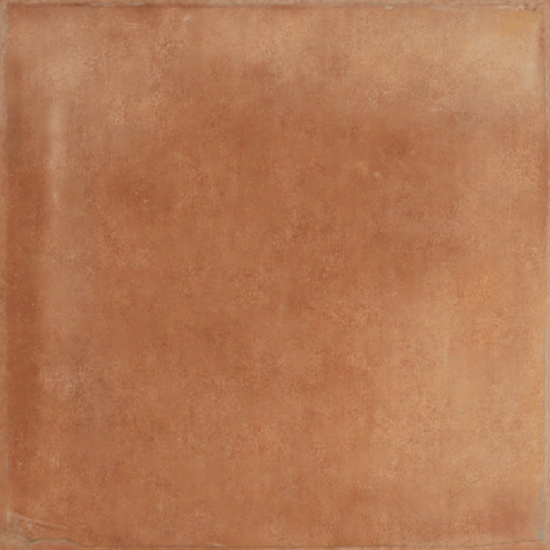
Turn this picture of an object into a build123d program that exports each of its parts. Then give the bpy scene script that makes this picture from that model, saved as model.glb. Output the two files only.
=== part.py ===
"""Square fired-clay floor tile with worn, uneven edges, a chipped corner and a waffle back.

Millimetres, +Z up. The tile lies on its back, and the origin is the middle of that back.
East is +X and north is +Y, as on a plan seen from above.
"""

import os
from math import floor, sqrt
from typing import NamedTuple

from build123d import *

# The pressed block
SIDE = 300.0
THICKNESS = 14.0
CORNER_RADIUS = 1.5  # of the upright corners
FOOT_CHAMFER = 0.8  # all round the back

# The worn rim between the sides and the face
RIM_DROP = 1.6  # from the face down to the top of the sides
KNEE_DROP = 0.8  # from the face down to the bend in the rim
KNEE_SHARE = 0.7  # how much of the rim's width lies outside the bend

# Where the face ends, as its distance in from each side, at even steps along that side.
# The sides go anticlockwise from the south-west corner.
SOUTH_RIM = (3.0, 1.9, 1.6, 1.6, 1.8, 2.5, 2.6, 6.0)  # west to east
EAST_RIM = (4.3, 2.9, 2.5, 2.2, 1.9, 2.2, 3.0, 3.6)  # south to north
NORTH_RIM = (3.4, 3.9, 3.5, 3.6, 3.8, 3.5, 3.0, 3.4)  # east to west
WEST_RIM = (3.8, 3.6, 4.1, 4.1, 4.2, 4.4, 4.3, 3.8)  # north to south
RIMS = (SOUTH_RIM, EAST_RIM, NORTH_RIM, WEST_RIM)

# The waffle pressed into the back, which keys into the bed
POCKET_SIDE = 38.0
POCKET_DEPTH = 1.5
POCKET_CORNER = 3.0
POCKET_DRAFT = 25.0  # degrees, each wall leaning outwards
RIB_WIDTH = 6.0
BACK_BORDER = 14.0  # least plain width left round the waffle


class Chip(NamedTuple):
    """A shell-shaped chip, set out from one corner of the block.

    corner holds the signs of x and y there. along_x and along_y run from that corner in over
    the face, and below nought the middle of the chip lies outside the block.
    """

    corner: tuple[int, int]
    along_x: float
    along_y: float
    radius: float
    depth: float


SOUTH_WEST = (-1, -1)
SOUTH_EAST = (1, -1)
NORTH_EAST = (1, 1)
NORTH_WEST = (-1, 1)

CHIPS = (
    # The broken south-west corner, in three shells
    Chip(SOUTH_WEST, along_x=6.5, along_y=-3.3, radius=13.6, depth=4.0),
    Chip(SOUTH_WEST, along_x=25.0, along_y=-12.0, radius=18.5, depth=6.0),
    Chip(SOUTH_WEST, along_x=34.0, along_y=-10.4, radius=16.8, depth=5.0),
    # The pit by the north-east corner, and the flake beside it
    Chip(NORTH_EAST, along_x=10.4, along_y=3.4, radius=3.4, depth=1.5),
    Chip(NORTH_EAST, along_x=19.5, along_y=1.4, radius=3.6, depth=1.6),
    # Nicks along the north edge
    Chip(NORTH_WEST, along_x=52.5, along_y=0.4, radius=3.2, depth=2.4),
    Chip(NORTH_WEST, along_x=60.0, along_y=0.8, radius=2.8, depth=2.0),
    Chip(NORTH_WEST, along_x=71.5, along_y=-0.6, radius=4.0, depth=2.6),
    Chip(NORTH_EAST, along_x=88.0, along_y=3.2, radius=2.4, depth=0.9),
    Chip(NORTH_EAST, along_x=57.5, along_y=-6.0, radius=12.4, depth=2.6),
)


# Directions along the four sides, and in from them, in the order of RIMS
CORNERS = (SOUTH_WEST, SOUTH_EAST, NORTH_EAST, NORTH_WEST)
ALONG = (Vector(1, 0), Vector(0, 1), Vector(-1, 0), Vector(0, -1))
INWARD = (Vector(0, 1), Vector(-1, 0), Vector(0, -1), Vector(1, 0))


def corner_point(index: int) -> Vector:
    """A corner of the block, in plan."""
    return Vector(*CORNERS[index]) * (SIDE / 2)


def outline(share: float, height: float) -> Sketch:
    """The tile's outline at a height, with this share of the rim's width already crossed."""
    bends = []
    for i in range(4):
        bends.append(corner_point(i) + (INWARD[i] * RIMS[i][0] + INWARD[i - 1] * RIMS[i - 1][-1]) * share)
    edges = []
    for i in range(4):
        start = bends[i] + ALONG[i] * CORNER_RADIUS
        bend = bends[(i + 1) % 4]
        end = bend - ALONG[i] * CORNER_RADIUS
        edges.append(side_edge(i, share, start, end))
        turned = bend + ALONG[(i + 1) % 4] * CORNER_RADIUS
        crest = bend + (end + turned - bend * 2) * (1 - sqrt(0.5))
        edges.append(ThreePointArc(end, crest, turned))
    return Pos(0, 0, height) * make_face(edges)


def side_edge(index: int, share: float, start: Vector, end: Vector) -> Edge:
    """One side of an outline: straight on the block itself, and wandering with the rim above it."""
    if share == 0:
        return Line(start, end)
    rim = RIMS[index]
    step = SIDE / (len(rim) - 1)
    origin = corner_point(index)
    points = [origin + ALONG[index] * step * k + INWARD[index] * rim[k] * share for k in range(1, len(rim) - 1)]
    return Spline(start, *points, end, tangents=(ALONG[index], ALONG[index]))


def block() -> Part:
    """The straight-sided part of the tile, from the back up to the rim."""
    body = extrude(outline(0, 0), amount=THICKNESS - RIM_DROP)
    return chamfer(body.edges().group_by(Axis.Z)[0], FOOT_CHAMFER)


def crown() -> Part:
    """The top of the tile: the worn rim, and the face inside it."""
    foot = outline(0, THICKNESS - RIM_DROP)
    knee = outline(KNEE_SHARE, THICKNESS - KNEE_DROP)
    face = outline(1, THICKNESS)
    return loft([foot, knee, face], ruled=True)


def waffle() -> Part:
    """The pockets pressed into the back."""
    pitch = POCKET_SIDE + RIB_WIDTH
    count = floor((SIDE - 2 * BACK_BORDER + RIB_WIDTH) / pitch)
    mouths = GridLocations(pitch, pitch, count, count) * RectangleRounded(POCKET_SIDE, POCKET_SIDE, POCKET_CORNER)
    return extrude(Sketch() + mouths, amount=POCKET_DEPTH, taper=POCKET_DRAFT)


def chip_shell(chip: Chip) -> Part:
    """The ball whose cap is the chip, with its rim at the level of the face."""
    ball = (chip.radius**2 + chip.depth**2) / (2 * chip.depth)
    x = chip.corner[0] * (SIDE / 2 - chip.along_x)
    y = chip.corner[1] * (SIDE / 2 - chip.along_y)
    return Pos(x, y, THICKNESS + ball - chip.depth) * Sphere(ball)


def tile() -> Part:
    """The whole tile, as one fired piece."""
    body = block() + crown() - waffle()
    return body - [chip_shell(chip) for chip in CHIPS]


os.makedirs("parts", exist_ok=True)
export_step(tile(), "parts/tile.step")
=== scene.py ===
"""Dresses a square fired-clay floor tile: its worn mesh, its kiln colours, and the floor, light and camera.

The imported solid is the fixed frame, and the tile's mesh is drawn down over it. Lengths in the classes
are in millimetres, with east along +X, north along +Y and the middle of the tile's back at the origin.
Tones and colours are in the 256 levels of a screen.
"""

import logging
from collections import Counter
from dataclasses import dataclass, field, replace
from enum import Enum
from math import cos, hypot, pi, radians, sin, tan

import bpy
import numpy as np
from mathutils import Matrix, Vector, noise
from mathutils.kdtree import KDTree

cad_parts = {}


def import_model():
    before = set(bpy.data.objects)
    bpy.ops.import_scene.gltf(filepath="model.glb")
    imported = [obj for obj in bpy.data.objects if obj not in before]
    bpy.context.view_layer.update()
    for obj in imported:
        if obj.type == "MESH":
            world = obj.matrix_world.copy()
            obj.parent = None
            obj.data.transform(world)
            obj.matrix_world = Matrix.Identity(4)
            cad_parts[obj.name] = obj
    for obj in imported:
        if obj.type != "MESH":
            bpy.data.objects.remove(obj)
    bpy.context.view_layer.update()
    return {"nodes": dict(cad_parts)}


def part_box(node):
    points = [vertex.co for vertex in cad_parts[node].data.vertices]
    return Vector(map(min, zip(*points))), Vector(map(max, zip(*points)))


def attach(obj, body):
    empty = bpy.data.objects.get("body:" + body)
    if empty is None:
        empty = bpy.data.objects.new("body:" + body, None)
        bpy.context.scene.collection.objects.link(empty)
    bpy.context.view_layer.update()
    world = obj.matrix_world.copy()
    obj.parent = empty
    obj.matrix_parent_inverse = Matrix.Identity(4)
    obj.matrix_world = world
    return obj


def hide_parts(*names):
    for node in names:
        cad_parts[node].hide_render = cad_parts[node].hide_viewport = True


MM = 0.001  # metres in a millimetre
TINY = 0.001  # millimetres within which two places count as one
LOOSE = 0.1  # millimetres within which a place counts as near another
LOG = logging.getLogger("clay_tile")

Triple = tuple[float, float, float]
Pair = tuple[float, float]
Stop = tuple[float, Triple]
Node = bpy.types.Node
Socket = bpy.types.NodeSocket


def linear(levels: Triple) -> tuple[float, float, float, float]:
    """Turns screen levels into the linear colour that a shader takes, by the usual sRGB curve.

    Args:
        levels: red, green and blue from 0 to 255.

    Returns:
        Linear red, green, blue and an alpha of 1.
    """
    shares = [level / 255 for level in levels]
    light = [s / 12.92 if s <= 0.04045 else ((s + 0.055) / 1.055) ** 2.4 for s in shares]
    return (*light, 1.0)


class Pigment(Enum):
    """What stains or scuffs the clay, and the painted shade and light laid in the same colours, as screen
    levels.
    """

    LIME = (212, 192, 170)
    ASH = (156, 134, 110)
    # Dark brown for soot, also laid as painted shade along the crease, inside the north and west arris, and
    # as dark pits
    SOOT_AND_PAINTED_SHADE = (132, 72, 44)
    RUST = (158, 84, 52)
    OCHRE = (200, 146, 84)
    ROSE = (178, 108, 84)
    SLATE = (142, 148, 142)
    OLIVE = (128, 92, 54)
    # Pale tan for dust, also laid as painted highlight along the crease and as painted light on the north rim
    DUST_AND_PAINTED_LIGHT = (192, 152, 122)
    CLAY = (186, 126, 86)
    SAND = (170, 131, 96)


class Side(Enum):
    """The tile's sides, as the way out through each, with east and north as its two numbers."""

    NORTH = (0, 1)
    EAST = (1, 0)
    SOUTH = (0, -1)
    WEST = (-1, 0)


@dataclass(frozen=True)
class Flash:
    """A soft patch that the kiln left paler, darker, warmer or cooler, that something stained, or that is
    painted shade or highlight.

    east and north are its middle, wide and tall its half sizes at half strength, and turn its angle in
    degrees. lift is in levels, and for a stain the share that it covers. A higher edge gives a flatter top
    and a crisper border.
    """

    east: float
    north: float
    wide: float
    tall: float
    lift: float
    turn: float = 0.0
    edge: float = 1.0


# Where the clay is paler or darker than its middling tone
TONES = (
    # The pale north and east of the face
    Flash(60, 134, 115, 26, 20, edge=1.4),
    Flash(95, 106, 68, 24, 12, edge=1.6),
    Flash(128, 116, 28, 20, 14),
    Flash(8, 112, 7, 9, 6),
    Flash(143, 82, 5, 6, 7),
    Flash(140, 104, 4, 8, 8),
    Flash(132, 82, 5, 14, 5),
    Flash(102, 73, 8, 6, 5),
    Flash(80, 92, 14, 8, 4),
    Flash(38, 95, 10, 18, 5),
    Flash(40, 64, 8, 10, 6),
    Flash(48, 58, 4, 4, 4),
    Flash(126, 137, 14, 5, 6),
    Flash(131, 127, 14, 4, 6),
    Flash(141, 112, 3, 14, 7),
    Flash(58, 146, 5, 3, -6),
    Flash(129, 6, 7, 18, 6),
    Flash(109, 4, 6, 18, -6),
    Flash(88, 20, 6, 8, 6),
    Flash(105, 50, 6, 6, 6),
    Flash(61, 42, 5, 6, 5),
    Flash(112, 40, 14, 36, 9, edge=1.3),
    Flash(152, -20, 52, 125, 21, edge=1.4),
    Flash(80, -22, 26, 16, 10, turn=40),
    Flash(45, -5, 8, 11, 7),
    Flash(-3, -15, 6, 4, 5),
    Flash(58, -57, 4, 10, 6),
    Flash(113, -38, 5, 6, -6),
    Flash(68, -28, 12, 8, 5),
    Flash(143, -42, 4, 14, 8),
    Flash(83, -68, 6, 10, 5),
    Flash(52, -84, 4, 12, -10),
    Flash(45, -107, 7, 6, 6),
    Flash(124, -110, 6, 6, 6),
    Flash(92, -70, 44, 50, 20, edge=1.6),
    Flash(75, -95, 34, 30, 8, edge=1.4),
    Flash(140, -109, 20, 9, 9),
    Flash(148, -22, 8, 32, 8),
    Flash(149, -85, 9, 62, 12),
    Flash(105, -138, 50, 16, 10, edge=1.4),
    Flash(-12, 132, 24, 11, 12),
    Flash(-12, 123, 8, 6, 5),
    Flash(-56, 143, 5, 4, 7),
    Flash(76, 137, 6, 4, 6),
    Flash(-48, 138, 8, 6, 4),
    Flash(-138, 131, 10, 6, 5),
    Flash(123, 60, 11, 12, 5),
    Flash(137, 97, 6, 6, 6),
    Flash(124, 90, 5, 6, 6),
    Flash(104, 90, 5, 4, 5),
    Flash(45, 85, 6, 6, 4),
    Flash(34, 120, 6, 6, 5),
    Flash(-38, 120, 7, 6, 5),
    Flash(65, 114, 10, 5, -5),
    Flash(148, 148, 5, 4, 10),
    Flash(118, -34, 7, 5, 6),
    Flash(93, -2, 8, 6, 4),
    Flash(70, 28, 6, 6, 4),
    Flash(64, -7, 5, 8, -4),
    Flash(96, -99, 10, 4, 5),
    Flash(96, -127, 8, 9, -5),
    Flash(143, -136, 6, 6, 5),
    # The dark strip down the west, and the pale streak beside it
    Flash(-138, -25, 11, 92, -15, edge=2.2),
    Flash(-143, 75, 6, 26, -9, edge=1.5),
    Flash(-139, -58, 8, 34, -3),
    Flash(-137, 38, 9, 22, -4),
    Flash(-128, 42, 4, 14, -7),
    Flash(-138, 14, 8, 8, 5),
    Flash(-119.5, 66, 3.8, 34, 18),
    Flash(-119.5, 78, 2.8, 16, 5),
    Flash(-121, 73, 4.5, 2.6, -11),
    Flash(-126, 66, 3.5, 4, -6),
    Flash(-122, 42, 4, 5, -5),
    Flash(-119.5, 95.5, 3.4, 5, -9),
    Flash(-112.5, 82, 3.5, 6, 5),
    Flash(-110, 57, 4, 6, 4),
    Flash(-115, 0, 10, 55, 6),
    Flash(-116, -20, 6, 14, 4),
    Flash(-115, 71, 3.5, 18, 7),
    Flash(-129, 107, 5, 6, 6),
    Flash(-98, 16, 5, 8, 5),
    # The pale north-west, with its dark spots
    Flash(-110, 116, 44, 28, 16),
    Flash(-114, 111, 8, 9, 9, turn=30),
    Flash(-76, 92, 13, 14, 11),
    Flash(-141, 111, 5, 6, -14),
    Flash(-136, 143, 13, 4, -10),
    Flash(-75, 145, 13, 5, -12),
    Flash(-68, 137, 8, 6, -7),
    Flash(-84, 129, 10, 7, -13),
    Flash(-48, 147, 7, 3, -6),
    Flash(-112, 137, 5, 4, 6),
    Flash(5, 146, 11, 4, -14),
    Flash(-9, 110, 5, 4, -11),
    Flash(35, 112, 7, 8, -8),
    # The dark middle
    Flash(-12, 79, 9, 7, -6),
    Flash(-10, 69, 8, 8, -5),
    Flash(-62, 101, 8, 11, -5),
    Flash(14, 102, 7, 9, -5),
    Flash(-88, 38, 7, 6, -5),
    Flash(-88, 62, 4, 4, -5),
    Flash(-113, 11, 4, 5, -5),
    Flash(12, -38, 8, 5, -4),
    Flash(-35, 82, 16, 8, -5),
    Flash(-58, 71, 7, 7, -6),
    Flash(-40, 71, 14, 6, -4),
    Flash(-86, 46, 11, 8, -8),
    Flash(-67, 44, 9, 14, -9),
    Flash(65, 69, 9, 6, -9),
    Flash(58, 68, 22, 13, -4),
    Flash(58, 19, 10, 8, -5),
    Flash(96, 15, 8, 7, -5),
    Flash(12, -15, 7, 8, -4),
    Flash(-75, -33, 28, 10, -4),
    Flash(-38, -33, 12, 8, -4),
    Flash(-65, -85, 10, 9, -4),
    Flash(-80, -112, 9, 9, -4),
    Flash(-101, -40, 6, 9, -5),
    Flash(-68, -38, 7, 9, -5),
    Flash(-90, 39, 8, 6, -4),
    Flash(-8, 70, 6, 5, -4),
    Flash(-45, -12, 6, 6, -5),
    Flash(-62, -80, 8, 9, -4),
    # The paler clay south of the middle
    Flash(-8, -92, 32, 30, 9),
    Flash(30, -100, 24, 40, 7),
    Flash(-10, -40, 8, 8, 5),
    Flash(-18, -96, 5, 8, 5),
    Flash(-37, -104, 10, 5, 5),
    Flash(-50, -32, 3, 8, 5),
    Flash(-8, -17, 10, 3, 4),
    Flash(30, -30, 24, 14, 6),
    Flash(-22, -55, 8, 8, -6),
    Flash(12, -86, 6, 6, -6),
    Flash(97, -87, 8, 5, -6),
    Flash(118, -52, 9, 16, -6),
    Flash(124, -84, 5, 5, -5),
    # The south edge
    Flash(-100, -141, 20, 5, -8, turn=-10),
    Flash(-85, -145, 8, 4, -5),
    Flash(-118, -133, 8, 6, -4),
    Flash(-132, -117, 7, 5, -7),
    Flash(-66, -143, 12, 4, 7),
    Flash(6, -141, 17, 5, 6),
    Flash(18, -145, 11, 3.5, 9),
    Flash(-62, -132, 6, 5, 4),
    Flash(141, -141, 8, 5, 8),
    Flash(35, -147, 8, 3, -9),
    Flash(82, -147, 13, 4, 8),
    Flash(112, -145, 10, 4, 4),
    Flash(-30, -144, 9, 4, -5),
    Flash(128, -135, 13, 7, -10),
    # The east rim
    Flash(146, 55, 5, 20, -10),
    Flash(149, 120, 4, 22, -14),
    # Smaller blotches all over the face
    Flash(-71, 91, 6, 7, 7),
    Flash(-17.5, 109, 4, 5, 8),
    Flash(4, 93, 6, 4, 6),
    Flash(-32.5, 119, 4, 5, 5),
    Flash(77, 23, 12, 4, 6),
    Flash(62.5, 44, 5, 4, 5),
    Flash(-6, 6, 4, 4, 6),
    Flash(31, -16, 4, 5, 8),
    Flash(47.5, -6, 5, 4, 6),
    Flash(-121, -62.5, 5, 4, 7),
    Flash(-10, -79, 4, 5, 7),
    Flash(121, 140, 5, 5, 6),
    Flash(50, 136, 5, 4, 5),
    Flash(-112, 101, 4, 7, 5),
    Flash(126, -42.5, 4, 4, 5),
    Flash(-105, -10, 4, 8, 6),
    Flash(-117.5, 123, 6, 5, -7),
    Flash(-95, 102.5, 7, 6, -4),
    Flash(137.5, 93, 5, 6, -5),
    Flash(-45, -56, 5, 5, -6),
    Flash(-21, 53, 5, 7, -5),
    Flash(26, 75, 5, 5, -5),
    Flash(95, -111, 6, 5, -7),
    Flash(-79, -72.5, 5, 5, -6),
    Flash(-21, 0, 5, 5, -6),
    Flash(-97.5, -65, 4, 6, -7),
    Flash(147, -34, 4, 8, -4),
)

# Where the clay is warmer, or cooler below nought, than its tone would make it
WARMTHS = (
    Flash(0, 128, 175, 38, -2.5, edge=2),
    Flash(-35, 118, 14, 14, 2),
    Flash(0, 134, 14, 8, 3),
    Flash(-122, 105, 26, 36, -3),
    Flash(-85, 74, 16, 14, -4),
    Flash(-108, 25, 10, 60, -5),
    Flash(-95, -62, 10, 20, -4),
    Flash(-100, -92, 10, 24, -2),
    Flash(112, 88, 30, 10, -4),
    Flash(40, -65, 24, 56, 4),
    Flash(-8, -90, 12, 25, 3),
    Flash(80, -60, 30, 40, 2),
    Flash(105, -8, 22, 10, 4),
    Flash(142, -65, 5, 45, 5),
    Flash(70, 30, 14, 20, -2),
    Flash(-60, -140, 22, 8, -3),
    Flash(-142, -141, 12, 8, -8),
    Flash(147, -135, 5, 16, -9),
    Flash(-148, 120, 4, 40, -5),
    Flash(-118, 144, 28, 5, -5),
    Flash(-143, 74, 4, 12, -4),
    Flash(144, 138, 7, 9, -5),
    Flash(148, 110, 4, 30, -6),
    Flash(-135, 77, 10, 28, -3),
    Flash(-130, 12, 6, 20, -2.5),
    Flash(-115, -50, 7, 16, -3),
    Flash(-50, 110, 15, 14, -2),
    Flash(-10, 137, 9, 5, -3),
    Flash(5, 100, 10, 9, -2.5),
    Flash(72, 138, 22, 6, -3),
    Flash(111, 143, 12, 6, -4),
    Flash(60, 112, 9, 8, 3),
    Flash(106, 96, 6, 8, -3),
    Flash(141, 104, 6, 8, -3),
    Flash(116, -12, 10, 28, 3),
    Flash(110, -36, 14, 7, 2.5),
    Flash(144, -136, 7, 10, -6),
    Flash(-122, -146, 12, 4, -4),
)

# Stains on the face, by what left them, with how far each covers the clay as its lift
STAINS = {
    Pigment.OCHRE: (
        Flash(136, 140, 9, 6, 0.42),
        Flash(128, 132, 8, 8, 0.3),
        Flash(60, 137, 6, 4, 0.25),
        Flash(79.4, 143.4, 3.5, 2.0, 0.4),
        Flash(141, -112, 4, 18, 0.25),
    ),
    Pigment.ROSE: (Flash(128, -134, 14, 8, 0.3),),
    Pigment.DUST_AND_PAINTED_LIGHT: (
        Flash(-119.5, 85, 2.4, 7, 0.25),
        Flash(-119.7, 66, 2.8, 6, 0.25),
        Flash(-119.3, 43, 2.0, 3.2, 0.35),
        Flash(-112, 110.7, 2.8, 2.6, 0.4),
    ),
    Pigment.RUST: (
        Flash(145.2, 129, 1.7, 13, 0.48),
        Flash(-115, -147, 7, 2.5, 0.3),
        Flash(3.9, 144.6, 5.0, 2.4, 0.4),
    ),
}

# Small marks on the face that are too fine to paint on the mesh, by colour; along the crease they are painted
# highlight and painted shadow
MARKS = {
    Pigment.DUST_AND_PAINTED_LIGHT: (
        # The next two marks are pale lines along the crease: painted highlight on its lit side
        Flash(-139.9, -130.9, 5.6, 0.9, 0.34, turn=-17),
        Flash(-124.4, -134.9, 10.6, 0.75, 0.24, turn=-13),
        Flash(-145.1, -130.4, 1.3, 4.0, 0.5),
        Flash(-119.5, 43.2, 0.9, 2.2, 0.35),
        Flash(-120.4, 62.0, 0.8, 8.0, 0.2, turn=2),
        Flash(74.9, 66.8, 0.9, 0.8, 0.4),
        Flash(-123.6, 131.0, 1.8, 1.8, 0.35),
        Flash(48.6, 57.2, 0.7, 1.1, 0.4),
        Flash(46.6, 60.6, 1.4, 1.0, 0.3),
        Flash(39.2, 58.6, 1.8, 0.8, 0.22),
        Flash(55.4, 54.7, 1.2, 1.1, 0.42),
        Flash(93.3, 70.9, 1.6, 0.8, 0.3),
        Flash(-138.2, -102.6, 0.8, 0.6, 0.5),
        Flash(7.3, 22.5, 0.9, 3.0, 0.3),
        Flash(-119.3, 85.5, 1.3, 4.5, 0.28),
        Flash(-117.6, 69.0, 2.2, 2.6, 0.22),
        Flash(-121.6, 58.8, 1.6, 2.2, 0.25),
    ),
    Pigment.SOOT_AND_PAINTED_SHADE: (
        # The next two marks are dark lines along the crease: painted shadow in it
        Flash(-138.5, -129.0, 3.8, 0.6, 0.45, turn=-30),
        Flash(-125.5, -136.3, 8.5, 0.6, 0.5, turn=-14),
        Flash(-143.4, -135.3, 1.8, 1.4, 0.35),
        # The next six marks darken the inside of the pit at the north-east corner
        Flash(136.9, 146.7, 1.1, 0.9, 0.4),
        Flash(138.0, 145.6, 0.9, 1.1, 0.45),
        Flash(136.4, 144.5, 1.2, 0.7, 0.4),
        Flash(140.8, 144.4, 1.2, 0.8, 0.4),
        Flash(139.6, 147.2, 1.9, 1.3, 0.3),
        Flash(141.2, 143.4, 0.7, 1.7, 0.4, turn=20),
        Flash(-84.6, -143.5, 6.0, 1.6, 0.25),
        Flash(-106.2, 147.0, 4.2, 0.7, 0.45),
        Flash(-69.2, 147.4, 2.0, 1.0, 0.45),
        Flash(62.6, 147.2, 4.0, 0.4, 0.4),
        Flash(42.5, 146.4, 2.2, 0.6, 0.4),
        Flash(-38.2, -146.4, 3.6, 1.1, 0.3),
    ),
    Pigment.LIME: (
        Flash(-133.1, -136.9, 0.5, 1.6, 0.3),
        Flash(-97.4, 147.1, 2.0, 0.5, 0.45),
        Flash(-90.0, 146.7, 2.8, 0.4, 0.5, turn=3),
        Flash(-76.4, 147.3, 4.6, 0.6, 0.4, turn=3),
        Flash(134.2, 145.3, 1.6, 0.55, 0.6, turn=-48),
        Flash(131.5, 144.2, 1.4, 0.4, 0.4, turn=50),
        Flash(140.2, 145.4, 0.5, 0.6, 0.55),
        Flash(130.6, 147.0, 2.4, 0.5, 0.35),
        Flash(123.5, 145.3, 3.8, 0.6, 0.35, turn=3),
        Flash(61.9, 145.3, 2.8, 0.8, 0.5, edge=2.5),
        Flash(92.7, 144.7, 6.5, 0.6, 0.35, turn=-4),
        Flash(86.0, 89.8, 1.6, 1.3, 0.25),
        Flash(142.8, 137.2, 4.4, 1.1, 0.28, turn=58),
        Flash(139.5, 114.0, 2.2, 1.6, 0.25),
        Flash(-48.0, 139.7, 1.8, 1.2, 0.3, turn=30),
        Flash(-77.5, 136.4, 3.4, 0.35, 0.3, turn=-6),
        Flash(-76.9, 134.7, 2.6, 0.3, 0.25, turn=-8),
        Flash(-32.0, -146.4, 4.0, 0.6, 0.2, turn=-12),
        Flash(90.0, 90.0, 0.5, 0.5, 0.4),
        Flash(-99.8, 111.6, 1.1, 0.4, 0.3),
    ),
    Pigment.SLATE: (
        Flash(-140.7, -133.8, 0.8, 1.5, 0.35),
        Flash(-140.2, -137.5, 1.5, 0.8, 0.42),
        Flash(145.2, -141.5, 1.6, 2.4, 0.45),
        Flash(-17.0, -16.8, 0.9, 0.7, 0.25),
    ),
    Pigment.OCHRE: (
        Flash(-130.9, -140.2, 0.7, 2.0, 0.3, turn=20),
        Flash(-128.7, -142.4, 0.8, 1.2, 0.3),
        Flash(46.4, 59.4, 3.0, 1.8, 0.2),
        Flash(55.4, 54.7, 1.2, 1.1, 0.32),
        Flash(-111.3, 110.2, 1.8, 1.4, 0.35),
    ),
}


@dataclass(frozen=True)
class Stroke:
    """A line along the rim: wear, dirt, or painted shade and light.

    start and end are along the side, as east or north of its middle. inset is how far in from the arris
    it runs, below nought on the rim, wide its half width at half strength, and cover how much it hides. A
    higher edge gives it a crisper border.
    """

    side: Side
    start: float
    end: float
    inset: float
    wide: float
    cover: float
    edge: float = 1.0


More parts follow.
